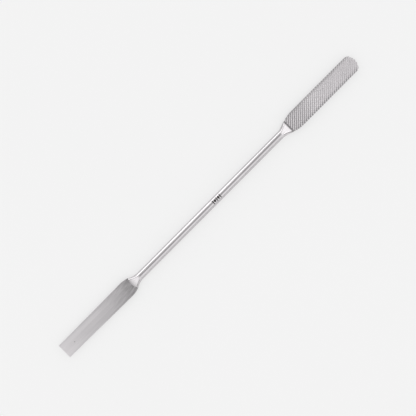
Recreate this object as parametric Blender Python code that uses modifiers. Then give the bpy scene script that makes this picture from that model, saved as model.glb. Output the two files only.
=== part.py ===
"""Double-ended steel spudger: a round shank between a smooth flat blade and a cross-cut paddle.

Metres, +Z up. +X runs along the tool from the blade to the paddle, Y across it. The tool lies on a
surface at Z = 0, which its round shank touches, and X = 0 is the middle of its length.
"""

import math

import bmesh
import bpy
from mathutils import Matrix, Vector

# The whole tool.
TOOL_LENGTH = 0.180
SHANK_RADIUS = 0.00175
AXIS_HEIGHT = SHANK_RADIUS
JOINT_GAP = 0.0003

# The necks, where the round shank is drawn out flat.
BLADE_NECK_LENGTH = 0.0060
BLADE_NECK_SKEW = 0.85
PADDLE_NECK_LENGTH = 0.0044
NECK_END_CORNER = 0.00042
NECK_STATIONS = 10

# The smooth blade: a long wedge, square across its tip.
BLADE_LENGTH = 0.0419
BLADE_TIP_WIDTH = 0.0071
BLADE_ROOT_WIDTH = 0.0077
BLADE_TIP_THICKNESS = 0.0005
BLADE_ROOT_THICKNESS = 0.0012
BLADE_FLAT_LENGTH = 0.0280
BLADE_SWEEP_RISE = 0.00015
BLADE_CORNER = 0.00012
BLADE_ROOT_CORNER = 0.00045
BLADE_FLARE_START = 0.00475
BLADE_FLARE_LENGTH = 0.0081
BLADE_FLARE_SKEW = 0.9
BLADE_STATIONS = 10
TIP_EDGE_BREAK = 0.00008

# The cross-cut paddle: an even plate with a round end and teeth on both faces.
PADDLE_LENGTH = 0.04145
PADDLE_WIDTH = 0.0083
PADDLE_FLARE_LENGTH = 0.0098
PADDLE_FLARE_SKEW = 0.78
PADDLE_END_DEPTH = 0.0027
PADDLE_EDGE_ROUND = 0.00040
PADDLE_EDGE_SEGMENTS = 2
PADDLE_OUTLINE_STEP = 0.0010
PADDLE_END_STEPS = 10
CREST_THICKNESS = 0.0015
TOOTH_DEPTH = 0.00025
CUT_PITCH = 0.0009
CREST_CLEARANCE = 0.00005

# Points round each quarter of a section.
SHANK_ARC_POINTS = 8
BLADE_ARC_POINTS = 3

# Modelling tolerances.
MERGE_DISTANCE = 0.000001
CORNER_ANGLE = math.radians(60)
SHARP_ANGLE = math.radians(30)
ROUND_PROFILE = 0.5

# The three finishes of the one steel: colour and roughness.
POLISHED = ((0.66, 0.64, 0.655), 0.12)
SATIN = ((0.56, 0.54, 0.555), 0.38)
CROSSCUT = ((0.58, 0.56, 0.57), 0.34)

TIP_X = -TOOL_LENGTH / 2
END_X = TOOL_LENGTH / 2
BLADE_JOINT_X = TIP_X + BLADE_LENGTH
PADDLE_JOINT_X = END_X - PADDLE_LENGTH
BLADE_NECK_X = BLADE_JOINT_X + BLADE_NECK_LENGTH
PADDLE_NECK_X = PADDLE_JOINT_X - PADDLE_NECK_LENGTH
BLADE_JOINT_THICKNESS = BLADE_ROOT_THICKNESS + 2 * BLADE_SWEEP_RISE
ROOT_THICKNESS = CREST_THICKNESS - 2 * TOOTH_DEPTH


def mix(a, b, share):
    return a + (b - a) * share


def clamp(value):
    return min(max(value, 0.0), 1.0)


def s_curve(share, skew=1.0):
    """0 to 1 with level ends. A skew under 1 brings the middle of the rise nearer to the start."""
    s = clamp(share) ** skew
    return s * s * (3 - 2 * s)


def blade_half_width(x):
    """From the shank's radius, out through the flare, then tapering a little to the tip."""
    flare = s_curve((BLADE_JOINT_X + BLADE_FLARE_START - x) / BLADE_FLARE_LENGTH, BLADE_FLARE_SKEW)
    full = mix(BLADE_TIP_WIDTH, BLADE_ROOT_WIDTH, s_curve((x - TIP_X) / BLADE_LENGTH)) / 2
    return mix(SHANK_RADIUS, full, flare)


def blade_half_thickness(x):
    """A straight wedge from the tip, swept up a little towards the neck, then the neck's curve."""
    if x > BLADE_JOINT_X:
        rise = s_curve((x - BLADE_JOINT_X) / BLADE_NECK_LENGTH, BLADE_NECK_SKEW)
        return mix(BLADE_JOINT_THICKNESS / 2, SHANK_RADIUS, rise)
    from_tip = x - TIP_X
    wedge = mix(BLADE_TIP_THICKNESS, BLADE_ROOT_THICKNESS, from_tip / BLADE_LENGTH) / 2
    sweep = clamp((from_tip - BLADE_FLAT_LENGTH) / (BLADE_LENGTH - BLADE_FLAT_LENGTH))
    return wedge + BLADE_SWEEP_RISE * sweep**2


def blade_corner(x):
    """Radius of the section's corners: the shank's own radius where it is round."""
    if x > BLADE_JOINT_X:
        return mix(BLADE_ROOT_CORNER, SHANK_RADIUS, (x - BLADE_JOINT_X) / BLADE_NECK_LENGTH)
    return mix(BLADE_CORNER, BLADE_ROOT_CORNER, s_curve((x - TIP_X) / BLADE_LENGTH))


def paddle_half_width(x):
    """From the shank's radius, out through the flare, then even, then the half-oval end."""
    flare = s_curve((x - PADDLE_NECK_X) / PADDLE_FLARE_LENGTH, PADDLE_FLARE_SKEW)
    into_end = clamp((x - (END_X - PADDLE_END_DEPTH)) / PADDLE_END_DEPTH)
    return mix(SHANK_RADIUS, PADDLE_WIDTH / 2, flare) * math.sqrt(1 - into_end**2)


def neck_to_paddle(x):
    """(half width, half thickness, corner radius) of the shank's neck on the paddle's side."""
    share = clamp((x - PADDLE_NECK_X) / PADDLE_NECK_LENGTH)
    half_thickness = mix(SHANK_RADIUS, ROOT_THICKNESS / 2, share)
    corner = mix(SHANK_RADIUS, NECK_END_CORNER, share)
    return paddle_half_width(x), half_thickness, corner


def neck_to_blade(x):
    return blade_half_width(x), blade_half_thickness(x), blade_corner(x)


def rounded_section(x, half_width, half_thickness, corner, arc_points):
    """A rounded rectangle across the tool at x. Its sides and flats touch the true outline, so with
    all three sizes equal it is a regular polygon whose flats lie on the circle."""
    step = math.pi / 2 / arc_points
    reach = corner / math.cos(step / 2)
    points = []
    for quarter, (side_y, side_z) in enumerate(((1, 1), (-1, 1), (-1, -1), (1, -1))):
        centre_y = side_y * (half_width - corner)
        centre_z = side_z * (half_thickness - corner)
        for i in range(arc_points):
            angle = quarter * math.pi / 2 + (i + 0.5) * step
            y = centre_y + reach * math.cos(angle)
            z = centre_z + reach * math.sin(angle)
            points.append(Vector((x, y, z)))
    return points


def new_object(name, bm, collection):
    """An object of this mesh, with its origin on the tool's axis at mid-length."""
    bmesh.ops.recalc_face_normals(bm, faces=bm.faces)
    mesh = bpy.data.meshes.new(name)
    bm.to_mesh(mesh)
    bm.free()
    obj = bpy.data.objects.new(name, mesh)
    obj.location.z = AXIS_HEIGHT
    collection.objects.link(obj)
    return obj


def loft(name, sections, collection):
    """A closed solid through sections that all have the same number of points."""
    bm = bmesh.new()
    rings = [[bm.verts.new(point) for point in section] for section in sections]
    count = len(rings[0])
    for ring, after in zip(rings, rings[1:]):
        for i in range(count):
            j = (i + 1) % count
            bm.faces.new((ring[i], ring[j], after[j], after[i]))
    bm.faces.new(reversed(rings[0]))
    bm.faces.new(rings[-1])
    return new_object(name, bm, collection)


def stations(start, end, count):
    return [mix(start, end, i / count) for i in range(count + 1)]


def make_shank(collection):
    """The round shank with both its necks: one piece, polished all over."""
    first = BLADE_JOINT_X + JOINT_GAP / 2
    last = PADDLE_JOINT_X - JOINT_GAP / 2
    sections = [
        rounded_section(x, *neck_to_blade(x), SHANK_ARC_POINTS)
        for x in stations(first, BLADE_NECK_X, NECK_STATIONS)
    ]
    sections += [
        rounded_section(x, *neck_to_paddle(x), SHANK_ARC_POINTS)
        for x in stations(PADDLE_NECK_X, last, NECK_STATIONS)
    ]
    return loft("shank", sections, collection)


def make_blade(collection):
    """The smooth blade, with its tip's edges just broken."""
    root = BLADE_JOINT_X - JOINT_GAP / 2
    flat_end = TIP_X + BLADE_FLAT_LENGTH
    half_width, half_thickness, corner = neck_to_blade(TIP_X)
    at_tip = rounded_section(
        TIP_X,
        half_width - TIP_EDGE_BREAK,
        half_thickness - TIP_EDGE_BREAK,
        corner - TIP_EDGE_BREAK / 2,
        BLADE_ARC_POINTS,
    )
    sections = [at_tip]
    for x in [TIP_X + TIP_EDGE_BREAK] + stations(flat_end, root, BLADE_STATIONS):
        sections.append(rounded_section(x, *neck_to_blade(x), BLADE_ARC_POINTS))
    return loft("smooth_blade", sections, collection)


def paddle_outline():
    """The paddle's edge seen from above: along one side, round the end and back along the other."""
    start = PADDLE_JOINT_X + JOINT_GAP / 2
    end_start = END_X - PADDLE_END_DEPTH
    along = stations(start, end_start, round((end_start - start) / PADDLE_OUTLINE_STEP))
    side = [(x, paddle_half_width(x)) for x in along]
    for i in range(1, PADDLE_END_STEPS):
        turn = math.pi / 2 * i / PADDLE_END_STEPS
        x = end_start + PADDLE_END_DEPTH * math.sin(turn)
        side.append((x, paddle_half_width(x)))
    return side + [(END_X, 0.0)] + [(x, -y) for x, y in reversed(side)]


def make_paddle_blank(name, collection):
    """The paddle's plate before its teeth are cut: the outline, thick enough to hold the crests."""
    curve = bpy.data.curves.new(name, "CURVE")
    curve.dimensions = "2D"
    curve.fill_mode = "BOTH"
    curve.extrude = CREST_THICKNESS / 2 + CREST_CLEARANCE
    outline = paddle_outline()
    spline = curve.splines.new("POLY")
    spline.points.add(len(outline) - 1)
    for point, (x, y) in zip(spline.points, outline):
        point.co = (x, y, 0.0, 1.0)
    spline.use_cyclic_u = True
    drawn = bpy.data.objects.new(name + "_outline", curve)
    collection.objects.link(drawn)
    bpy.context.view_layer.update()

    filled = drawn.evaluated_get(bpy.context.evaluated_depsgraph_get())
    bm = bmesh.new()
    bm.from_mesh(bpy.data.meshes.new_from_object(filled))
    bpy.data.objects.remove(drawn)
    bmesh.ops.remove_doubles(bm, verts=bm.verts, dist=MERGE_DISTANCE)
    corners = [edge for edge in bm.edges if edge.is_manifold and edge.calc_face_angle() > CORNER_ANGLE]
    rim = [edge for edge in corners if abs(edge.verts[0].co.z - edge.verts[1].co.z) < MERGE_DISTANCE]
    bmesh.ops.bevel(
        bm,
        geom=rim,
        offset=PADDLE_EDGE_ROUND,
        segments=PADDLE_EDGE_SEGMENTS,
        profile=ROUND_PROFILE,
        affect="EDGES",
    )
    return new_object(name, bm, collection)


def make_tooth_slab(name, collection):
    """A slab with sharp pyramids above and below, which trims the blank to its toothed faces.

    Two sets of V cuts at 45 degrees to the tool leave pyramids, whose crests and valley crossings
    alternate on a square grid along the tool. Its cell is 0.707 of the cuts' pitch."""
    cell = CUT_PITCH * math.sqrt(2) / 2
    cells_x = 2 * math.ceil((PADDLE_LENGTH / 2 + cell) / cell)
    cells_y = 2 * math.ceil((PADDLE_WIDTH / 2 + cell) / cell)
    start_x = PADDLE_JOINT_X - cell
    to_place = Matrix.Translation((start_x + cells_x * cell / 2, 0, 0))
    to_place @= Matrix.Diagonal((cells_x * cell / 2, cells_y * cell / 2, 1, 1))
    bm = bmesh.new()
    bmesh.ops.create_grid(bm, x_segments=cells_x, y_segments=cells_y, size=1, matrix=to_place)
    valleys = set()
    for vert in bm.verts:
        column = round((vert.co.x - start_x) / cell)
        row = round(vert.co.y / cell)
        vert.co.z = CREST_THICKNESS / 2
        if (column + row) % 2:
            vert.co.z -= TOOTH_DEPTH
            valleys.add(vert)
    for face in list(bm.faces):
        low = [vert for vert in face.verts if vert in valleys]
        bmesh.utils.face_split(face, low[0], low[1])
    rim = [edge for edge in bm.edges if edge.is_boundary]
    skirt = bmesh.ops.extrude_edge_only(bm, edges=rim)["geom"]
    for vert in (item for item in skirt if isinstance(item, bmesh.types.BMVert)):
        vert.co.z = 0.0
    slab = new_object(name, bm, collection)
    mirror = slab.modifiers.new("other_face", "MIRROR")
    mirror.use_axis = (False, False, True)
    mirror.merge_threshold = MERGE_DISTANCE
    return slab


def as_guide(obj):
    """A cutter or guide: seen as wires, and no part of the object."""
    obj.hide_render = True
    obj.display_type = "WIRE"
    return obj


def make_paddle(collection, cutters):
    blank = make_paddle_blank("crosscut_paddle", collection)
    teeth = blank.modifiers.new("cut_teeth", "BOOLEAN")
    teeth.operation = "INTERSECT"
    teeth.solver = "EXACT"
    teeth.object = as_guide(make_tooth_slab("tooth_slab", cutters))
    return blank


def give_finish(obj, name, colour, roughness):
    material = bpy.data.materials.new(name)
    material.use_nodes = True
    shader = material.node_tree.nodes["Principled BSDF"]
    shader.inputs["Base Color"].default_value = (*colour, 1.0)
    shader.inputs["Roughness"].default_value = roughness
    shader.inputs["Metallic"].default_value = 1.0
    obj.data.materials.append(material)


def clear_scene():
    for obj in list(bpy.data.objects):
        bpy.data.objects.remove(obj)


def new_collection(name):
    collection = bpy.data.collections.new(name)
    bpy.context.scene.collection.children.link(collection)
    return collection


def main():
    clear_scene()
    parts = new_collection("spudger")
    cutters = new_collection("cutters")
    shank = make_shank(parts)
    blade = make_blade(parts)
    paddle = make_paddle(parts, cutters)
    give_finish(shank, "polished_steel", *POLISHED)
    give_finish(blade, "satin_steel", *SATIN)
    give_finish(paddle, "crosscut_steel", *CROSSCUT)
    for obj in (shank, blade):
        obj.data.shade_smooth()
        obj.data.set_sharp_from_angle(angle=SHARP_ANGLE)


main()
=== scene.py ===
"""The looks of the double-ended steel spudger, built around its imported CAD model.

Metres, in the model's frame: +X from the smooth blade to the cross-cut paddle, Y across the flats and
+Z up, with the surface that the tool lies on at Z = 0. The steel is built in three lengths, which meet
at the two lines where its finish changes: the satin blade, the polished shank with both its necks, and
the cross-cut paddle. Each is modelled about the tool's axis and then raised to its height.
"""

import math
from collections import namedtuple

import bmesh
import bpy
from mathutils import Matrix, Vector, noise


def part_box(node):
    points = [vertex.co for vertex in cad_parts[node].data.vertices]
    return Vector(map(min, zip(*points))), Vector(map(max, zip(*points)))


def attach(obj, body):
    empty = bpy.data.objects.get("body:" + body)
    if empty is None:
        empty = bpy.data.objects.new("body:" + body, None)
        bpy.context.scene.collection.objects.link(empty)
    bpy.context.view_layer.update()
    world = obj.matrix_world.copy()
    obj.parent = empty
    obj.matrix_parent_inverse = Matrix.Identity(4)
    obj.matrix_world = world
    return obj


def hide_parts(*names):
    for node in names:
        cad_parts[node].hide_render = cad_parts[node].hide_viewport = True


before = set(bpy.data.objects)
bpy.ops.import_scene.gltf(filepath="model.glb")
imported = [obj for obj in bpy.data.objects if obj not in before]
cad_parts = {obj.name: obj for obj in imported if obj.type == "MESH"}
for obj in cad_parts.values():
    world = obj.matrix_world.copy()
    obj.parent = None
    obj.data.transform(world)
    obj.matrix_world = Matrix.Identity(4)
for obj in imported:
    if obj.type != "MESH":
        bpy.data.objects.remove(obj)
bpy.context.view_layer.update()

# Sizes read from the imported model.
blade_low, blade_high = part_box("smooth_blade")
shank_low, shank_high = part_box("shank")
paddle_low, paddle_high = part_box("crosscut_paddle")
TIP_X = blade_low.x
END_X = paddle_high.x
BLADE_JOINT_X = (blade_high.x + shank_low.x) / 2
PADDLE_JOINT_X = (shank_high.x + paddle_low.x) / 2
BLADE_LENGTH = BLADE_JOINT_X - TIP_X
PADDLE_LENGTH = END_X - PADDLE_JOINT_X
SHANK_RADIUS = (shank_high.z - shank_low.z) / 2
AXIS_HEIGHT = (shank_high.z + shank_low.z) / 2
CREST_HALF = (paddle_high.z - paddle_low.z) / 2
PADDLE_HALF_WIDTH = (paddle_high.y - paddle_low.y) / 2

# The shank and its necks, where it is drawn out wide and a flat is ground on each face.
BLADE_NECK_LENGTH = 0.0060
BLADE_NECK_SKEW = 0.85
PADDLE_NECK_LENGTH = 0.0044
PADDLE_FLAT_LENGTH = 0.0049
NECK_STATIONS = 44
SHANK_STATIONS = 90
SHANK_POINTS = 160
FLAT_EDGE_ROUND = 0.00020
SPREAD_SHARPENING = 2.7
SPREAD_POWER = 0.6
WEB_HALF = 0.00070
SHANK_SHARP = math.radians(50)

# The waves of a hand polish, with their number per metre, and the ragged line where it meets the satin.
POLISH_WAVE = 0.000004
WAVES_ALONG = 120
WAVES_ACROSS = 300
FINISH_BOW = 0.00075
FINISH_BOW_REACH = 0.0030
FINISH_RAGGED = 0.00010
FINISH_RAGS = 1600
FINISH_SEED = (4.2, 0.3)

# The smooth blade.
BLADE_TIP_WIDTH = 0.0071
BLADE_ROOT_WIDTH = 0.0077
BLADE_LEAN = 0.00013
BLADE_TIP_THICKNESS = 0.0005
BLADE_ROOT_THICKNESS = 0.0012
BLADE_FLAT_LENGTH = 0.0280
BLADE_SWEEP_RISE = 0.00015
BLADE_CORNER = 0.00012
BLADE_ROOT_CORNER = 0.00030
BLADE_FLARE_START = 0.00462
BLADE_FLARE_LENGTH = 0.0081
BLADE_FLARE_SKEW = 0.9
BLADE_STATIONS = 120
CORNER_STEPS = 10
FLAT_STEPS = 24
SIDE_STEPS = 4
TIP_EDGE_BREAK = 0.00008
BLADE_SHARP = math.radians(30)

# The cross-cut paddle.
PADDLE_FLARE_LENGTH = 0.0098
PADDLE_FLARE_SKEW = 0.78
PADDLE_END_DEPTH = 0.0027
PADDLE_ROOT_HALF = 0.00075
EDGE_REACH = 0.00042
EDGE_RINGS = 4
PADDLE_SHARP = math.radians(28)

# The two crossed sets of cuts, and the run-out groove across the neck where they begin.
CutSet = namedtuple("CutSet", "side angle pitch start half_width seed")
FORWARD_CUTS = CutSet(-1, math.radians(43.3), 0.000895, 0.000105, 0.00030, 3.1)
BACK_CUTS = CutSet(1, math.radians(44.8), 0.000904, 0.0, 0.00024, 8.7)
CUT_BOTTOM = 0.2
FORWARD_CUT_DEPTH = 0.00025
BACK_CUT_DEPTH = 0.00012
BACK_CUT_AT_NECK = 0.00008
BACK_CUT_FULL_BY = 0.030
CUT_UNEVENNESS = 0.05
CUT_NOISE_STEP = 0.73
CUT_NOISE_LAYER = 0.5
RUN_OUT_LENGTH = 0.00070
RUN_OUT_GROOVE = 0.00030
RUN_OUT_WALL = 1 / 4
RUN_OUT_AT_SIDE = 0.3

# How closely the toothed face is trimmed: crossings by halving, and distances that count as none.
HALVINGS = 24
WELD = 0.000012
AT_JOINT = 0.000001
ON_OUTLINE = 0.0001

# The index mark on the middle of the shank.
MARK_START_X = 0.0019
MARK_HALF_HEIGHT = 0.00098
MARK_BAR = 0.00042
MARK_LOZENGE = 0.00105
MARK_POINT = 0.12
MARK_GAP = 0.00030
MARK_POINTED = (False, True, False, True, False)
MARK_PROUD = 0.000006
MARK_DEPTH = 0.00004
MARK_COLUMNS = 12
MARK_ROWS = 8

# All the steels: their hue, and the shine that they keep at a glancing angle. The scales of the noises
# below are in features per metre along X, Y and Z.
STEEL_HUE = (1.0, 0.967, 0.988)
EDGE_TINT = (0.4, 0.4, 0.4, 1.0)

# The polish: dull by the satin, with painted shade on one web of the paddle's neck, beside the flat, and
# painted shade by the teeth.
WIPING = (14, 3600, 3600)
POLISH_CLOUDS = (180, 320, 320)
POLISH_RELIEF = 0.00002
DULL_REACH = 0.0022
DULL_MIDDLE_Y = 0.0020
DULL_SIDE_Y = 0.0027
DULL_ROUGHNESS = 0.15
GROUND_LENGTH = 0.0036
GROUND_HALF_WIDTH = 0.0020
WEB_FULL_BY = 0.0022
WEB_FADE = 0.0008
TEETH_SHADE_REACH = 0.0005

# The satin: a painted highlight at the tip, painted shade along one side, along the edges and by the
# neck, where it lies over real grinding marks, with one small pit.
BRUSHING = (45, 5200, 5200)
BROAD_MARKS = (26, 1000, 1000)
GRINDING_MARKS = (190, 1300, 1300)
GRINDING_TURN = math.radians(9)
BRUSHING_RELIEF = 0.00003
TIP_HIGHLIGHT_REACH = 0.014
SIDE_SHADE_START_Y = 0.0010
SIDE_SHADE_END_Y = -0.0034
SIDE_SHADE_FROM_TIP = 0.012
SIDE_SHADE_FULL_BY = 0.030
NECK_SHADE_REACH = 0.0265
NECK_SHADE_FULL = 0.0005
NECK_SHADE_POWER = 2.6
EDGE_SHADE_LEAN = 0.0001
EDGE_SHADE_START = 0.0026
EDGE_SHADE_END = 0.0036
EDGE_SHADE_FADE = 0.006
EDGE_SHADE_GONE = 0.002
PIT_PLACE = (TIP_X + 0.0062, 0.0, BLADE_TIP_THICKNESS / 2)
PIT_RADIUS = 0.00034
PIT_BOTTOM = 0.6

# The cut steel, with painted shade in its cuts: more of it by the neck, in the run-out and along the
# edges.
CUT_GRAIN = (2500, 2500, 2500)
CUT_CLOUDS = (170, 260, 260)
GRAIN_RELIEF = 0.00002
CUT_SHADE_REACH = 0.023
RIM_SHADE_START = 0.0026
RIM_SHADE_END = 0.0038
RUN_OUT_SHADE = 0.2
RUN_OUT_SHADE_FADE = 0.05

# The etched mark.
ETCH_GRAIN = (9000, 9000, 9000)
ETCH_BLACK = (0.035, 0.034, 0.033)
ETCH_GREY = (0.10, 0.095, 0.09)

# The picture: how far across it reaches, how the tool lies in it, and where the tool's middle is.
PICTURE_WIDTH = 0.18196
TOOL_TURN = math.radians(45.144)
MIDDLE_RIGHT = 0.00082
MIDDLE_UP = 0.00095
LENS_MM = 100.0
SENSOR_MM = 36.0
NEAREST_SEEN = 0.01

# The studio's brightness, as the picture shows it: 1 is full white.
TENT_LUMINANCE = 0.95
OPENING_LUMINANCE = 0.38
FLOOR_GLOW = 0.55
FLOOR_DARK = (0.38, 0.38, 0.38)
FLOOR_PALE = (0.39, 0.39, 0.39)
FLOOR_CLOUDS = (9, 9, 9)
FLOOR_HALF_SIZE = 3.0
FLOOR_SQUARES = 8
HORIZON = 0.05

# Which way the length of a lamp or a card lies.
ALONG = Vector((1, 0, 0))
ACROSS = Vector((0, 1, 0))


def mix(a, b, share):
    """The value this share of the way from a to b."""
    return a + (b - a) * share


def clamp(value):
    """The value, held between 0 and 1."""
    return min(max(value, 0.0), 1.0)


def s_curve(share, skew=1.0):
    """0 to 1 with level ends. A skew under 1 brings the middle of the rise nearer to the start."""
    s = clamp(share) ** skew
    return s * s * (3 - 2 * s)


def stations(start, end, count):
    """Places from start to end, both included, with this many equal steps between them."""
    return [mix(start, end, i / count) for i in range(count + 1)]


# ---- Outlines and sections ------------------------------------------------------------------------


def blade_half_width(x):
    flare = s_curve((BLADE_JOINT_X + BLADE_FLARE_START - x) / BLADE_FLARE_LENGTH, BLADE_FLARE_SKEW)
    full = mix(BLADE_TIP_WIDTH, BLADE_ROOT_WIDTH, s_curve((x - TIP_X) / BLADE_LENGTH)) / 2
    return mix(SHANK_RADIUS, full, flare)


def blade_half_thickness(x):
    from_tip = x - TIP_X
    wedge = mix(BLADE_TIP_THICKNESS, BLADE_ROOT_THICKNESS, from_tip / BLADE_LENGTH) / 2
    sweep = clamp((from_tip - BLADE_FLAT_LENGTH) / (BLADE_LENGTH - BLADE_FLAT_LENGTH))
    return wedge + BLADE_SWEEP_RISE * sweep**2


def blade_corner(x):
    return mix(BLADE_CORNER, BLADE_ROOT_CORNER, s_curve((x - TIP_X) / BLADE_LENGTH))


def paddle_half_width(x):
    flare = s_curve((x - PADDLE_JOINT_X + PADDLE_NECK_LENGTH) / PADDLE_FLARE_LENGTH, PADDLE_FLARE_SKEW)
    into_end = clamp((x - END_X + PADDLE_END_DEPTH) / PADDLE_END_DEPTH)
    return mix(SHANK_RADIUS, PADDLE_HALF_WIDTH, flare) * math.sqrt(1 - into_end**2)


def flat_height(x):
    """Height of the flats ground on the shank's faces: clear of it where it is left round."""
    clear = SHANK_RADIUS + FLAT_EDGE_ROUND
    by_blade = s_curve((x - BLADE_JOINT_X) / BLADE_NECK_LENGTH, BLADE_NECK_SKEW)
    by_paddle = clamp((PADDLE_JOINT_X - x) / PADDLE_FLAT_LENGTH)
    return min(
        mix(BLADE_ROOT_THICKNESS / 2 + BLADE_SWEEP_RISE, clear, by_blade),
        mix(PADDLE_ROOT_HALF, clear, by_paddle),
    )


def finish_bow(x, y):
    """How far along the tool the line between polish and satin wanders here."""
    near = 1 - s_curve(abs(x - BLADE_JOINT_X) / FINISH_BOW_REACH)
    across = y / blade_half_width(BLADE_JOINT_X)
    ragged = noise.noise(Vector((y * FINISH_RAGS, *FINISH_SEED)))
    return near * (FINISH_BOW * (across**2 - 1 / 2) + FINISH_RAGGED * ragged)


def soft_lower(a, b, reach):
    """The lower of two values, rounded off where they come within reach of each other."""
    return min(a, b) - max(reach - abs(a - b), 0.0) ** 2 / (4 * reach)


def shank_outline(x):
    """The bar's section as (y, z) points: round, or spread into two webs with a flat on each face."""
    half_width = blade_half_width(x) if x < 0 else paddle_half_width(x)
    spread_out = max(half_width / SHANK_RADIUS - 1, 0.0)
    power = 1 + SPREAD_SHARPENING * spread_out**SPREAD_POWER
    points = []
    for i in range(SHANK_POINTS):
        angle = 2 * math.pi * i / SHANK_POINTS
        rise = abs(math.sin(angle))
        ridge = (SHANK_RADIUS - WEB_HALF) * rise**power + WEB_HALF * rise
        ground = math.copysign(soft_lower(ridge, flat_height(x), FLAT_EDGE_ROUND), math.sin(angle))
        points.append(Vector((half_width * math.cos(angle), ground)))
    return points


def blade_outline(half_width, half_thickness, corner):
    """A rounded rectangle as (y, z) points, from the middle of its +Y side and round through +Z."""
    points = []
    for quarter, (side_y, side_z) in enumerate(((1, 1), (-1, 1), (-1, -1), (1, -1))):
        middle = Vector((side_y * (half_width - corner), side_z * (half_thickness - corner)))
        for i in range(CORNER_STEPS + 1):
            angle = (quarter + i / CORNER_STEPS) * math.pi / 2
            points.append(middle + corner * Vector((math.cos(angle), math.sin(angle))))
        start = points[-1]
        over_the_flat = side_y == side_z
        end = Vector((-start.x, start.y)) if over_the_flat else Vector((start.x, -start.y))
        steps = FLAT_STEPS if over_the_flat else SIDE_STEPS
        points += [start.lerp(end, j / steps) for j in range(1, steps)]
    return points


def spaced_evenly(points, count):
    """The closed outline through these points, walked again in this many equal steps."""
    lengths = [(b - a).length for a, b in zip(points, points[1:] + points[:1])]
    step = sum(lengths) / count
    spaced = []
    passed = 0.0
    for a, b, length in zip(points, points[1:] + points[:1], lengths):
        while len(spaced) < count and len(spaced) * step < passed + length:
            spaced.append(a.lerp(b, (len(spaced) * step - passed) / length))
        passed += length
    return spaced


# ---- Meshes ---------------------------------------------------------------------------------------


def new_piece(name, bm, material, slot, *replaced):
    """A smooth-shaded piece on the tool's axis that rides on the root body."""
    bmesh.ops.recalc_face_normals(bm, faces=bm.faces)
    mesh = bpy.data.meshes.new(name)
    bm.to_mesh(mesh)
    bm.free()
    mesh.materials.append(material)
    mesh.shade_smooth()
    piece = bpy.data.objects.new(name, mesh)
    piece.location.z = AXIS_HEIGHT
    bpy.context.scene.collection.objects.link(piece)
    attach(piece, "root")
    if replaced:
        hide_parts(*replaced)
    return piece


def loft(rings):
    """A closed solid through rings that all have the same number of points."""
    bm = bmesh.new()
    made = [[bm.verts.new(point) for point in ring] for ring in rings]
    for ring, after in zip(made, made[1:]):
        for i in range(len(ring)):
            j = (i + 1) % len(ring)
            bm.faces.new((ring[i], ring[j], after[j], after[i]))
    bm.faces.new(made[0])
    bm.faces.new(made[-1])
    return bm


def polished(x, y, z):
    """The point with the slight unevenness that hand polishing leaves."""
    lift = POLISH_WAVE * noise.noise(Vector((x * WAVES_ALONG, y * WAVES_ACROSS, z * WAVES_ACROSS)))
    reach = math.hypot(y, z)
    return Vector((x, y * (1 + lift / reach), z * (1 + lift / reach)))


def make_shank(material):
    """The round shank with both its necks."""
    blade_neck_x = BLADE_JOINT_X + BLADE_NECK_LENGTH
    paddle_neck_x = PADDLE_JOINT_X - PADDLE_NECK_LENGTH
    along = stations(BLADE_JOINT_X, blade_neck_x, NECK_STATIONS)
    along += stations(blade_neck_x, paddle_neck_x, SHANK_STATIONS)[1:-1]
    along += stations(paddle_neck_x, PADDLE_JOINT_X, NECK_STATIONS)
    rings = []
    for x in along:
        outline = spaced_evenly(shank_outline(x), SHANK_POINTS)
        rings.append([polished(x + finish_bow(x, y), y, z) for y, z in outline])
    piece = new_piece("polished_shank", loft(rings), material, "polished_steel", "shank")
    piece.data.set_sharp_from_angle(angle=SHANK_SHARP)


def make_blade(material):
    """The smooth blade, with its tip's edges just broken."""
    half_width = blade_half_width(TIP_X) - TIP_EDGE_BREAK
    half_thickness = blade_half_thickness(TIP_X) - TIP_EDGE_BREAK
    along = [(TIP_X, (half_width, half_thickness, blade_corner(TIP_X) - TIP_EDGE_BREAK / 2))]
    for x in stations(TIP_X + TIP_EDGE_BREAK, BLADE_JOINT_X, BLADE_STATIONS):
        along.append((x, (blade_half_width(x), blade_half_thickness(x), blade_corner(x))))
    rings = []
    for x, sizes in along:
        lean = BLADE_LEAN * s_curve((BLADE_JOINT_X - x) / BLADE_LENGTH)
        rings.append([Vector((x + finish_bow(x, y), y + lean, z)) for y, z in blade_outline(*sizes)])
    piece = new_piece("satin_blade", loft(rings), material, "satin_steel", "smooth_blade")
    piece.data.set_sharp_from_angle(angle=BLADE_SHARP)


# ---- The paddle -----------------------------------------------------------------------------------


def cut_profile(share):
    """How much of a V cut's depth is left across it: 1 in its middle, 0 from its sides outwards."""
    share = clamp(abs(share))
    return 1 - (math.hypot(share, CUT_BOTTOM) - CUT_BOTTOM) / (math.hypot(1, CUT_BOTTOM) - CUT_BOTTOM)


def across_cuts(cuts, along, y):
    """The distance across a set of cuts from the middle of the neck's end."""
    return along * math.cos(cuts.angle) + cuts.side * y * math.sin(cuts.angle)


def cut_depth(cuts, along, y, depth):
    """Depth of one set of cuts here. Each cut is a little unlike the next."""
    position = across_cuts(cuts, along, y) - cuts.start
    index = round(position / cuts.pitch)
    place_in_noise = Vector((index * CUT_NOISE_STEP, cuts.seed, CUT_NOISE_LAYER))
    uneven = 1 + CUT_UNEVENNESS * noise.noise(place_in_noise)
    off_middle = position - index * cuts.pitch
    return min(depth * uneven, FORWARD_CUT_DEPTH) * cut_profile(off_middle / cuts.half_width)


def tooth_depth(x, y):
    """How far below the crests the toothed face lies here."""
    along = x - PADDLE_JOINT_X
    back_full = mix(BACK_CUT_AT_NECK, BACK_CUT_DEPTH, s_curve(along / BACK_CUT_FULL_BY))
    forward = cut_depth(FORWARD_CUTS, along, y, FORWARD_CUT_DEPTH)
    back = cut_depth(BACK_CUTS, along, y, back_full)
    return max(forward, back)


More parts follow.
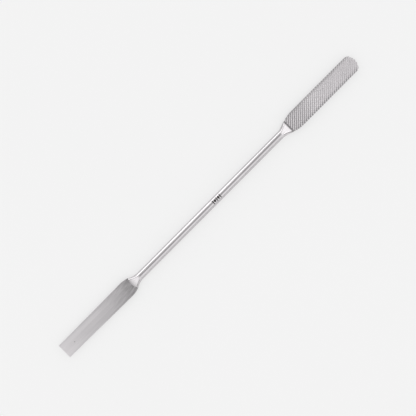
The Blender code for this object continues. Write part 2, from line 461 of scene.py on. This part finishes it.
def run_out_depth(x):
    """The narrow groove across the neck, where the teeth begin."""
    share = (x - PADDLE_JOINT_X) / RUN_OUT_LENGTH
    if share < RUN_OUT_WALL:
        return mix(CREST_HALF - PADDLE_ROOT_HALF, RUN_OUT_GROOVE, share / RUN_OUT_WALL)
    return RUN_OUT_GROOVE * clamp((1 - share) / RUN_OUT_WALL)


def inner_half_width(x):
    """Half the width of the flat inside the rounded edge, before the half-oval end."""
    return paddle_half_width(x) - EDGE_REACH


def inside_flat(x, y):
    """Positive inside the flat, negative outside it."""
    end_start = END_X - PADDLE_END_DEPTH
    if x <= end_start:
        return (inner_half_width(x) - abs(y)) / PADDLE_HALF_WIDTH
    depth = PADDLE_END_DEPTH - EDGE_REACH
    half_width = PADDLE_HALF_WIDTH - EDGE_REACH
    return 1 - math.hypot((x - end_start) / depth, y / half_width)


def edge_direction(x, y):
    """The way out over the rounded edge from a point on the flat's outline."""
    side = math.copysign(1.0, y)
    end_start = END_X - PADDLE_END_DEPTH
    if x <= end_start:
        return Vector((0.0, side, 0.0))
    across = abs(y) / (PADDLE_HALF_WIDTH - EDGE_REACH)
    turn = math.atan2((x - end_start) / (PADDLE_END_DEPTH - EDGE_REACH), across)
    return Vector((math.sin(turn), side * math.cos(turn), 0.0))


def cut_lines(cuts):
    """Distances across a set of cuts of every line where their profile bends."""
    bends = [share * cuts.half_width for share in (-1.0, -CUT_BOTTOM, 0.0, CUT_BOTTOM, 1.0)]
    reach = across_cuts(cuts, PADDLE_LENGTH, cuts.side * PADDLE_HALF_WIDTH)
    before = across_cuts(cuts, 0.0, cuts.side * PADDLE_HALF_WIDTH)
    first = -math.ceil(before / cuts.pitch) - 1
    last = math.ceil(reach / cuts.pitch) + 1
    middles = [cuts.start + index * cuts.pitch for index in range(first, last + 1)]
    return [middle + bend for middle in middles for bend in bends]


def tooth_lattice():
    """A flat lattice along both sets of cuts, with a line wherever their profile bends."""
    turn = math.sin(FORWARD_CUTS.angle + BACK_CUTS.angle)
    room = FORWARD_CUTS.pitch
    bm = bmesh.new()
    verts = {}
    for i, forward in enumerate(cut_lines(FORWARD_CUTS)):
        for j, back in enumerate(cut_lines(BACK_CUTS)):
            along = (forward * math.sin(BACK_CUTS.angle) + back * math.sin(FORWARD_CUTS.angle)) / turn
            y = (back * math.cos(FORWARD_CUTS.angle) - forward * math.cos(BACK_CUTS.angle)) / turn
            if -room < along < PADDLE_LENGTH + room and abs(y) < PADDLE_HALF_WIDTH + room:
                verts[i, j] = bm.verts.new((PADDLE_JOINT_X + along, y, 0.0))
    for i, j in verts:
        corners = [verts.get(key) for key in ((i, j), (i + 1, j), (i + 1, j + 1), (i, j + 1))]
        if all(corners):
            bm.faces.new(corners)
    return bm


def crossing(edge, outward):
    """How far along an edge it crosses the flat's outline, found by halving."""
    a, b = edge.verts
    low, high = 0.0, 1.0
    for _ in range(HALVINGS):
        middle = (low + high) / 2
        point = a.co.lerp(b.co, middle)
        if inside_flat(point.x, point.y) * outward > 0:
            low = middle
        else:
            high = middle
    return low


def cut_along_outline(bm):
    """Splits the lattice's edges and faces where the flat's outline crosses them."""
    value = {vert: inside_flat(vert.co.x, vert.co.y) for vert in bm.verts}
    on_outline = set()
    for edge in list(bm.edges):
        a, b = edge.verts
        if value[a] * value[b] < 0:
            _, vert = bmesh.utils.edge_split(edge, a, crossing(edge, value[a]))
            on_outline.add(vert)
    for face in list(bm.faces):
        ends = [vert for vert in face.verts if vert in on_outline]
        if len(ends) == 2:
            bmesh.utils.face_split(face, ends[0], ends[1])


def trim_to_flat(bm):
    """Drops what is outside the flat and adds the lines where the run-out groove bends."""
    cut_along_outline(bm)
    outside = []
    for face in bm.faces:
        centre = face.calc_center_median()
        if inside_flat(centre.x, centre.y) < 0:
            outside.append(face)
    bmesh.ops.delete(bm, geom=outside, context="FACES")
    for share in (0.0, RUN_OUT_WALL, 1 - RUN_OUT_WALL, 1.0):
        bmesh.ops.bisect_plane(
            bm,
            geom=bm.verts[:] + bm.edges[:] + bm.faces[:],
            plane_co=(PADDLE_JOINT_X + share * RUN_OUT_LENGTH, 0, 0),
            plane_no=(1, 0, 0),
            clear_inner=share == 0.0,
        )
    bmesh.ops.remove_doubles(bm, verts=bm.verts, dist=WELD)
    loose = [vert for vert in bm.verts if not vert.link_faces]
    bmesh.ops.delete(bm, geom=loose, context="VERTS")


def face_height(x, y):
    """Height of the toothed face above the paddle's middle plane."""
    return CREST_HALF - max(tooth_depth(x, y), run_out_depth(x))


def edge_ring(x, y):
    """Points over the rounded edge, from just below the top face down to the middle of the edge."""
    out = edge_direction(x, y)
    ring = []
    for i in range(1, EDGE_RINGS + 1):
        turn = math.pi / 2 * i / EDGE_RINGS
        point = Vector((x, y, CREST_HALF * math.cos(turn))) + out * EDGE_REACH * math.sin(turn)
        inward = Vector((0, 0, math.cos(turn) / CREST_HALF)) + out * math.sin(turn) / EDGE_REACH
        inward.normalize()
        run_out = run_out_depth(point.x) * mix(1.0, RUN_OUT_AT_SIDE, i / EDGE_RINGS)
        depth = max(tooth_depth(point.x, point.y), run_out)
        ring.append((point - inward * depth, depth))
    return ring


def through_plate(sheet, bm):
    """For each point of the sheet, the plate's points from its top face to its bottom one."""
    layer = bm.verts.layers.float.new("cut")

    def add(point, depth):
        vert = bm.verts.new(point)
        vert[layer] = depth / FORWARD_CUT_DEPTH
        return vert

    columns = {}
    for vert in sheet.verts:
        x, y, _ = vert.co
        height = face_height(x, y)
        column = [add((x, y, height), CREST_HALF - height)]
        on_rim = vert.is_boundary and abs(x - PADDLE_JOINT_X) > AT_JOINT
        if on_rim or abs(inside_flat(x, y)) < ON_OUTLINE:
            over = edge_ring(x, y)
            column += [add(point, depth) for point, depth in over]
            column += [add((p.x, p.y, -p.z), depth) for p, depth in reversed(over[:-1])]
        column.append(add((x, y, -height), CREST_HALF - height))
        columns[vert] = column
    return columns


def make_paddle(material):
    """The toothed plate: a top and a bottom face joined by the notched, rounded edge."""
    sheet = tooth_lattice()
    trim_to_flat(sheet)
    bm = bmesh.new()
    columns = through_plate(sheet, bm)
    for face in sheet.faces:
        bm.faces.new([columns[vert][0] for vert in face.verts])
        bm.faces.new([columns[vert][-1] for vert in reversed(face.verts)])
    for edge in sheet.edges:
        first, second = (columns[vert] for vert in edge.verts)
        if edge.is_boundary and len(first) > 2 and len(second) > 2:
            for i in range(len(first) - 1):
                bm.faces.new((first[i], first[i + 1], second[i + 1], second[i]))
    sheet.free()
    rim = [edge for edge in bm.edges if edge.is_boundary]
    bmesh.ops.holes_fill(bm, edges=rim, sides=0)
    bmesh.ops.triangulate(bm, faces=bm.faces, quad_method="LONG_EDGE")
    piece = new_piece("crosscut_plate", bm, material, "crosscut_steel", "crosscut_paddle")
    piece.data.set_sharp_from_angle(angle=PADDLE_SHARP)


# ---- The index mark -------------------------------------------------------------------------------


def mark_layer(bm, radius, start_x, length, pointed):
    """A grid of points on a round of this radius: a bar's outline, or a lozenge's if it is pointed."""
    grid = []
    for share in stations(0.0, 1.0, MARK_COLUMNS):
        half = MARK_HALF_HEIGHT
        if pointed:
            half *= mix(MARK_POINT, 1.0, 1 - abs(2 * share - 1))
        column = []
        for height in stations(-half, half, MARK_ROWS):
            turn = height / SHANK_RADIUS
            x = start_x + length * share
            column.append(bm.verts.new((x, radius * math.sin(turn), radius * math.cos(turn))))
        grid.append(column)
    return grid


def mark_patch(name, material, start_x, length, pointed):
    """A thin dark patch in the shank's surface, closed below and all round."""
    bm = bmesh.new()
    top = mark_layer(bm, SHANK_RADIUS + MARK_PROUD, start_x, length, pointed)
    bottom = mark_layer(bm, SHANK_RADIUS - MARK_DEPTH, start_x, length, pointed)
    for i in range(MARK_COLUMNS):
        for j in range(MARK_ROWS):
            bm.faces.new((top[i][j], top[i + 1][j], top[i + 1][j + 1], top[i][j + 1]))
            bm.faces.new((bottom[i][j], bottom[i][j + 1], bottom[i + 1][j + 1], bottom[i + 1][j]))
    rim = [edge for edge in bm.edges if edge.is_boundary]
    bmesh.ops.bridge_loops(bm, edges=rim)
    new_piece(name, bm, material, "etched_mark")


def make_mark(material):
    """A plain row of bars and lozenges across the top of the shank."""
    start_x = MARK_START_X
    for i, pointed in enumerate(MARK_POINTED):
        length = MARK_LOZENGE if pointed else MARK_BAR
        mark_patch(f"index_mark_{i + 1}", material, start_x, length, pointed)
        start_x += length + MARK_GAP


# ---- Materials ------------------------------------------------------------------------------------


def maths_node(tree, operation, a, b=0.0):
    """One operation on numbers or other nodes' outputs."""
    node = tree.nodes.new("ShaderNodeMath")
    node.operation = operation
    for socket, value in zip(node.inputs, (a, b)):
        if isinstance(value, (int, float)):
            socket.default_value = value
        else:
            tree.links.new(value, socket)
    return node.outputs["Value"]


class Shader:
    """A material's node tree, with short ways to add what these steels need."""

    # Where a Mix node keeps its two colours and its mixed colour.
    FIRST_COLOUR, SECOND_COLOUR, MIXED_COLOUR = 6, 7, 2

    def __init__(self, name):
        self.material = bpy.data.materials.new(name)
        self.material.use_nodes = True
        self.tree = self.material.node_tree
        self.surface = self.tree.nodes["Principled BSDF"]
        self.surface.inputs["Metallic"].default_value = 1.0
        self.place = self.tree.nodes.new("ShaderNodeTexCoord").outputs["Object"]

    def link(self, source, target):
        self.tree.links.new(source, target)

    def noise(self, scale, detail=3.0, roughness=0.55, distortion=0.0, turn=0.0):
        """Noise with its own scale along X, Y and Z, in features per metre, after a turn about Z."""
        turned = self.tree.nodes.new("ShaderNodeVectorRotate")
        turned.rotation_type = "Z_AXIS"
        turned.inputs["Angle"].default_value = turn
        self.link(self.place, turned.inputs["Vector"])
        stretch = self.tree.nodes.new("ShaderNodeMapping")
        stretch.inputs["Scale"].default_value = scale
        self.link(turned.outputs["Vector"], stretch.inputs["Vector"])
        texture = self.tree.nodes.new("ShaderNodeTexNoise")
        texture.inputs["Scale"].default_value = 1.0
        texture.inputs["Detail"].default_value = detail
        texture.inputs["Roughness"].default_value = roughness
        texture.inputs["Distortion"].default_value = distortion
        self.link(stretch.outputs["Vector"], texture.inputs["Vector"])
        return texture.outputs["Fac"]

    def axis(self, name):
        """The place along one axis, in metres."""
        split = self.tree.nodes.new("ShaderNodeSeparateXYZ")
        self.link(self.place, split.inputs["Vector"])
        return split.outputs[name]

    def distance(self, place):
        """Distance from a place on the tool."""
        node = self.tree.nodes.new("ShaderNodeVectorMath")
        node.operation = "DISTANCE"
        node.inputs[1].default_value = place
        self.link(self.place, node.inputs[0])
        return node.outputs["Value"]

    def attribute(self, name):
        """A value that the mesh holds at each of its points."""
        node = self.tree.nodes.new("ShaderNodeAttribute")
        node.attribute_name = name
        return node.outputs["Fac"]

    def spread(self, source, start, end, low=0.0, high=1.0):
        """The source's range from start to end, moved to low to high and held there."""
        node = self.tree.nodes.new("ShaderNodeMapRange")
        for socket, value in zip(("From Min", "From Max", "To Min", "To Max"), (start, end, low, high)):
            node.inputs[socket].default_value = value
        self.link(source, node.inputs["Value"])
        return node.outputs["Result"]

    def maths(self, operation, a, b=0.0):
        return maths_node(self.tree, operation, a, b)

    def blend(self, share, first, second):
        """Between two colours, each given as numbers or as another node's output."""
        node = self.tree.nodes.new("ShaderNodeMix")
        node.data_type = "RGBA"
        self.link(share, node.inputs["Factor"])
        for place, value in ((self.FIRST_COLOUR, first), (self.SECOND_COLOUR, second)):
            socket = node.inputs[place]
            if isinstance(value, tuple):
                socket.default_value = (*value, 1.0)
            else:
                self.link(value, socket)
        return node.outputs[self.MIXED_COLOUR]

    def bump(self, height, strength, distance):
        """Relief of this many metres from a height of 0 to 1."""
        node = self.tree.nodes.new("ShaderNodeBump")
        node.inputs["Strength"].default_value = strength
        node.inputs["Distance"].default_value = distance
        self.link(height, node.inputs["Height"])
        self.link(node.outputs["Normal"], self.surface.inputs["Normal"])

    def set(self, socket, source):
        """Drives one of the surface's own inputs."""
        self.link(source, self.surface.inputs[socket])


def steel_grey(brightness):
    """The colour of bare stainless steel of this brightness: nearly grey."""
    return tuple(brightness * share for share in STEEL_HUE)


def steel_shader(name):
    """A shader for bare steel, which is less of a mirror at a glancing angle than other metals."""
    shader = Shader(name)
    shader.surface.inputs["Specular Tint"].default_value = EDGE_TINT
    return shader


def polished_steel():
    """Bright polish with fine lengthwise wiping marks, duller by the satin, with painted shade by the
    teeth and on one web.
    """
    shader = steel_shader("polished_steel")
    x, y = shader.axis("X"), shader.axis("Y")
    wiping = shader.noise(WIPING, detail=2.0)
    clouds = shader.noise(POLISH_CLOUDS, detail=2.0)
    cloudy = shader.blend(shader.spread(clouds, 0.35, 0.65), steel_grey(0.71), steel_grey(0.77))
    wiped = shader.blend(shader.spread(wiping, 0.3, 0.7, high=0.5), cloudy, steel_grey(0.63))

    # Painted shade on the +Y web of the paddle's neck, beside its ground flat.
    ground = shader.spread(x, PADDLE_JOINT_X - GROUND_LENGTH, PADDLE_JOINT_X, high=GROUND_HALF_WIDTH)
    past_ground = shader.spread(shader.maths("SUBTRACT", y, ground), 0.0, WEB_FADE)
    in_neck = shader.spread(x, PADDLE_JOINT_X - GROUND_LENGTH, PADDLE_JOINT_X - WEB_FULL_BY)
    web_shade = shader.maths("MULTIPLY", past_ground, in_neck)
    web_shaded = shader.blend(web_shade, wiped, steel_grey(0.53))
    # Painted shade on the shank's end, where the teeth begin.
    teeth_shade = shader.spread(x, PADDLE_JOINT_X - TEETH_SHADE_REACH, PADDLE_JOINT_X, high=0.7)
    joined = shader.blend(teeth_shade, web_shaded, steel_grey(0.40))

    by_satin = shader.spread(x, BLADE_JOINT_X, BLADE_JOINT_X + DULL_REACH, low=1.0, high=0.0)
    off_side = shader.spread(y, DULL_MIDDLE_Y, DULL_SIDE_Y, low=1.0, high=0.2)
    dulled = shader.maths("MULTIPLY", by_satin, off_side)
    shader.set("Base Color", shader.blend(dulled, joined, steel_grey(0.50)))
    shine = shader.spread(wiping, 0.3, 0.75, low=0.10, high=0.20)
    roughened = shader.maths("MULTIPLY", dulled, DULL_ROUGHNESS)
    shader.set("Roughness", shader.maths("ADD", shine, roughened))
    shader.bump(wiping, strength=0.15, distance=POLISH_RELIEF)
    return shader.material


def satin_steel():
    """Lengthwise brushing over broad grinding marks, coarser by the neck and darkened there by painted
    shade, with a painted highlight at the tip.
    """
    shader = steel_shader("satin_steel")
    x, y = shader.axis("X"), shader.axis("Y")
    brushing = shader.noise(BRUSHING, detail=5.0, roughness=0.65)
    broad = shader.noise(BROAD_MARKS, detail=3.0, distortion=0.6)
    grinding = shader.noise(GRINDING_MARKS, detail=4.0, distortion=0.5, turn=-GRINDING_TURN)

    fine = shader.blend(shader.spread(brushing, 0.3, 0.7), steel_grey(0.69), steel_grey(0.82))
    streaked = shader.blend(shader.spread(broad, 0.35, 0.65, high=0.5), fine, steel_grey(0.60))
    shade_start, shade_full = TIP_X + SIDE_SHADE_FROM_TIP, TIP_X + SIDE_SHADE_FULL_BY
    past_tip = shader.spread(x, shade_start, shade_full, low=0.12, high=0.26)
    to_one_side = shader.spread(y, SIDE_SHADE_START_Y, SIDE_SHADE_END_Y)
    side_shade = shader.maths("MULTIPLY", to_one_side, past_tip)
    shaded = shader.blend(side_shade, streaked, steel_grey(0.30))
    # Painted highlight on the tip of the blade.
    tip_highlight = shader.spread(x, TIP_X + TIP_HIGHLIGHT_REACH, TIP_X, high=0.8)
    light = shader.blend(tip_highlight, shaded, steel_grey(0.82))

    # Painted shade by the neck, over the real grinding marks.
    along = shader.spread(x, BLADE_JOINT_X - NECK_SHADE_REACH, BLADE_JOINT_X - NECK_SHADE_FULL)
    dark = shader.blend(shader.spread(grinding, 0.3, 0.7), steel_grey(0.21), steel_grey(0.52))
    ground = shader.blend(shader.maths("POWER", along, NECK_SHADE_POWER), light, dark)

    off_middle = shader.maths("ABSOLUTE", shader.maths("ADD", y, EDGE_SHADE_LEAN))
    to_edge = shader.spread(off_middle, EDGE_SHADE_START, EDGE_SHADE_END)
    fade_end = BLADE_JOINT_X - EDGE_SHADE_GONE
    clear_of_neck = shader.spread(x, BLADE_JOINT_X - EDGE_SHADE_FADE, fade_end, low=0.12, high=0.0)
    edged = shader.blend(shader.maths("MULTIPLY", to_edge, clear_of_neck), ground, steel_grey(0.16))

    from_pit = shader.distance(PIT_PLACE)
    pit = shader.spread(from_pit, PIT_BOTTOM * PIT_RADIUS, PIT_RADIUS, low=1.0, high=0.0)
    shader.set("Base Color", shader.blend(pit, edged, steel_grey(0.46)))
    shader.set("Roughness", shader.spread(brushing, 0.3, 0.75, low=0.30, high=0.44))
    shader.bump(brushing, strength=0.35, distance=BRUSHING_RELIEF)
    return shader.material


def crosscut_steel():
    """Cut steel: bright lands, with painted shade in the cuts, most of it by the neck and along the
    edges.
    """
    shader = steel_shader("crosscut_steel")
    x, y = shader.axis("X"), shader.axis("Y")
    cut = shader.attribute("cut")
    grain = shader.noise(CUT_GRAIN, detail=3.0)
    clouds = shader.noise(CUT_CLOUDS, detail=2.0)

    by_neck = shader.spread(x, PADDLE_JOINT_X, PADDLE_JOINT_X + CUT_SHADE_REACH, low=1.0, high=0.0)
    bright = shader.blend(shader.spread(clouds, 0.3, 0.7), steel_grey(0.68), steel_grey(0.74))
    land = shader.blend(by_neck, bright, steel_grey(0.74))

    # Painted shade in the cuts, deepest by the neck.
    cut_shade = shader.blend(by_neck, steel_grey(0.60), steel_grey(0.33))
    # Painted shade along the rounded edges and in the run-out groove.
    rim_shade = shader.blend(shader.spread(x, PADDLE_JOINT_X, END_X), steel_grey(0.11), steel_grey(0.34))
    by_edge = shader.spread(shader.maths("ABSOLUTE", y), RIM_SHADE_START, RIM_SHADE_END)
    groove_end = PADDLE_JOINT_X + RUN_OUT_LENGTH
    fade = RUN_OUT_SHADE_FADE * RUN_OUT_LENGTH
    in_run_out = shader.spread(x, groove_end, groove_end - fade, high=RUN_OUT_SHADE)
    cut_and_rim_shade = shader.blend(shader.maths("MAXIMUM", by_edge, in_run_out), cut_shade, rim_shade)

    patchy = shader.spread(grain, 0.2, 0.8, low=0.8, high=1.0)
    shade_in_cuts = shader.maths("MULTIPLY", shader.spread(cut, 0.08, 0.6), patchy)
    shader.set("Base Color", shader.blend(shade_in_cuts, land, cut_and_rim_shade))
    shader.set("Roughness", shader.spread(cut, 0.0, 0.5, low=0.46, high=0.6))
    shader.bump(grain, strength=0.2, distance=GRAIN_RELIEF)
    return shader.material


def etched_mark():
    """The dark, dull oxide of an etched mark."""
    shader = Shader("etched_mark")
    grain = shader.noise(ETCH_GRAIN, detail=3.0)
    shader.set("Base Color", shader.blend(shader.spread(grain, 0.35, 0.65), ETCH_BLACK, ETCH_GREY))
    shader.set("Roughness", shader.spread(grain, 0.3, 0.7, low=0.5, high=0.7))
    return shader.material


def floor_material():
    """Pale acrylic, lit from below as well as from above, so that shadows on it stay faint."""
    shader = Shader("pale_floor")
    shader.surface.inputs["Metallic"].default_value = 0.0
    shader.surface.inputs["Roughness"].default_value = 0.9
    shader.surface.inputs["Specular IOR Level"].default_value = 0.0
    shader.surface.inputs["Emission Color"].default_value = (1, 1, 1, 1)
    shader.surface.inputs["Emission Strength"].default_value = FLOOR_GLOW
    clouds = shader.noise(FLOOR_CLOUDS, detail=2.0)
    shader.set("Base Color", shader.blend(clouds, FLOOR_DARK, FLOOR_PALE))
    return shader.material


# ---- The studio -----------------------------------------------------------------------------------


def make_floor():
    """A plain pale floor under the tool, just clear of the waves in its polish."""
    bm = bmesh.new()
    squares = FLOOR_SQUARES
    bmesh.ops.create_grid(bm, x_segments=squares, y_segments=squares, size=FLOOR_HALF_SIZE)
    mesh = bpy.data.meshes.new("floor")
    bm.to_mesh(mesh)
    bm.free()
    mesh.materials.append(floor_material())
    floor = bpy.data.objects.new("floor", mesh)
    floor.location.z = -POLISH_WAVE
    bpy.context.scene.collection.objects.link(floor)


def direction(across, along):
    """The way to a point of the tent, by its angles from straight up: towards +Y and towards +X."""
    return Vector((math.tan(math.radians(along)), math.tan(math.radians(across)), 1.0)).normalized()


def tent_opening(tree, place, axis, middle, dark, pale):
    """1 inside the opening overhead and 0 outside it, along one axis, by angles in degrees.

    Middle is the opening's lean from straight up. It is whole as far out as dark and gone by pale.
    """
    above = maths_node(tree, "MAXIMUM", place.outputs["Z"], HORIZON)
    ratio = maths_node(tree, "DIVIDE", place.outputs[axis], above)
    offset = maths_node(tree, "SUBTRACT", ratio, math.tan(math.radians(middle)))
    distance = maths_node(tree, "ABSOLUTE", offset)
    fade = tree.nodes.new("ShaderNodeMapRange")
    fade.interpolation_type = "SMOOTHSTEP"
    fade.inputs["From Min"].default_value = math.tan(math.radians(dark))
    fade.inputs["From Max"].default_value = math.tan(math.radians(pale))
    fade.inputs["To Min"].default_value = 1.0
    fade.inputs["To Max"].default_value = 0.0
    tree.links.new(distance, fade.inputs["Value"])
    return fade.outputs["Result"]


def make_world():
    """A pale tent all round, with a grey opening overhead where the picture is taken from."""
    world = bpy.data.worlds.new("tent")
    bpy.context.scene.world = world
    world.use_nodes = True
    tree = world.node_tree
    place = tree.nodes.new("ShaderNodeSeparateXYZ")
    tree.links.new(tree.nodes.new("ShaderNodeTexCoord").outputs["Generated"], place.inputs["Vector"])
    along = tent_opening(tree, place, "X", middle=0, dark=7, pale=15)
    across = tent_opening(tree, place, "Y", middle=7, dark=11, pale=27)
    tone = tree.nodes.new("ShaderNodeMapRange")
    tone.inputs["To Min"].default_value = TENT_LUMINANCE
    tone.inputs["To Max"].default_value = OPENING_LUMINANCE
    tree.links.new(maths_node(tree, "MULTIPLY", along, across), tone.inputs["Value"])
    tree.links.new(tone.outputs["Result"], tree.nodes["Background"].inputs["Color"])


def placed(towards, length_axis):
    """A metre from the tool in this direction, facing it, and lengthwise along the given axis."""
    length_axis = (length_axis - towards * towards.dot(length_axis)).normalized()
    turn = Matrix((length_axis, towards.cross(length_axis), towards)).transposed()
    return Matrix.Translation(towards) @ turn.to_4x4()


def make_soft_box(name, towards, length_axis, length, depth, luminance):
    """A rectangular light a metre from the tool, facing it, that shows only in its polish."""
    lamp = bpy.data.lights.new(name, "AREA")
    lamp.shape = "RECTANGLE"
    lamp.size = length
    lamp.size_y = depth
    lamp.energy = luminance * math.pi * length * depth
    box = bpy.data.objects.new(name, lamp)
    box.matrix_world = placed(towards, length_axis)
    box.visible_camera = False
    box.visible_diffuse = False
    bpy.context.scene.collection.objects.link(box)


def make_flag(name, towards, length_axis, length, depth, luminance):
    """A grey card a metre from the tool, facing it, that shows only in its polish."""
    bm = bmesh.new()
    corners = ((-1, -1), (1, -1), (1, 1), (-1, 1))
    bm.faces.new([bm.verts.new((x * length / 2, y * depth / 2, 0)) for x, y in corners])
    mesh = bpy.data.meshes.new(name)
    bm.to_mesh(mesh)
    bm.free()
    material = bpy.data.materials.new(name)
    material.use_nodes = True
    tree = material.node_tree
    glow = tree.nodes.new("ShaderNodeEmission")
    glow.inputs["Color"].default_value = (luminance, luminance, luminance, 1)
    tree.links.new(glow.outputs["Emission"], tree.nodes["Material Output"].inputs["Surface"])
    mesh.materials.append(material)
    card = bpy.data.objects.new(name, mesh)
    card.matrix_world = placed(towards, length_axis)
    card.visible_camera = False
    card.visible_diffuse = False
    card.visible_shadow = False
    bpy.context.scene.collection.objects.link(card)


def make_camera():
    """Looks straight down, with the tool running from the lower left to the upper right."""
    data = bpy.data.cameras.new("camera")
    data.lens = LENS_MM
    data.sensor_width = SENSOR_MM
    data.clip_start = NEAREST_SEEN
    camera = bpy.data.objects.new("camera", data)
    right = Vector((math.cos(TOOL_TURN), -math.sin(TOOL_TURN), 0))
    up = Vector((math.sin(TOOL_TURN), math.cos(TOOL_TURN), 0))
    middle = Vector(((TIP_X + END_X) / 2, 0, AXIS_HEIGHT))
    distance = PICTURE_WIDTH * LENS_MM / SENSOR_MM
    camera.location = middle - right * MIDDLE_RIGHT - up * MIDDLE_UP + Vector((0, 0, distance))
    camera.rotation_euler = (0, 0, -TOOL_TURN)
    bpy.context.scene.collection.objects.link(camera)
    bpy.context.scene.camera = camera


def make_lights():
    """Soft boxes for the highlights, and grey cards for the dark lines beside them."""
    make_soft_box("key", direction(66, -1), ALONG, length=0.55, depth=0.22, luminance=1.75)
    make_soft_box("neck_light", direction(0, 31), ACROSS, length=0.5, depth=0.36, luminance=0.32)
    make_soft_box("blade_light", direction(0, -35), ACROSS, length=0.5, depth=0.36, luminance=0.25)
    make_soft_box("glint", direction(-41, 37), ALONG, length=0.4, depth=0.5, luminance=1.7)
    make_soft_box("shoulder_light", direction(76, -26), ALONG, length=0.4, depth=0.2, luminance=0.5)
    make_flag("dark_edge", direction(-81.7, 0), ALONG, length=0.3, depth=0.28, luminance=0.30)
    make_flag("paddle_shade", direction(40, 14), ACROSS, length=0.5, depth=0.26, luminance=0.62)
    make_flag("blade_shade", direction(38, -17), ACROSS, length=0.5, depth=0.26, luminance=0.40)


make_camera()
make_world()
make_floor()
make_lights()
bpy.context.scene.view_settings.view_transform = "Standard"

make_shank(polished_steel())
make_blade(satin_steel())
make_paddle(crosscut_steel())
make_mark(etched_mark())
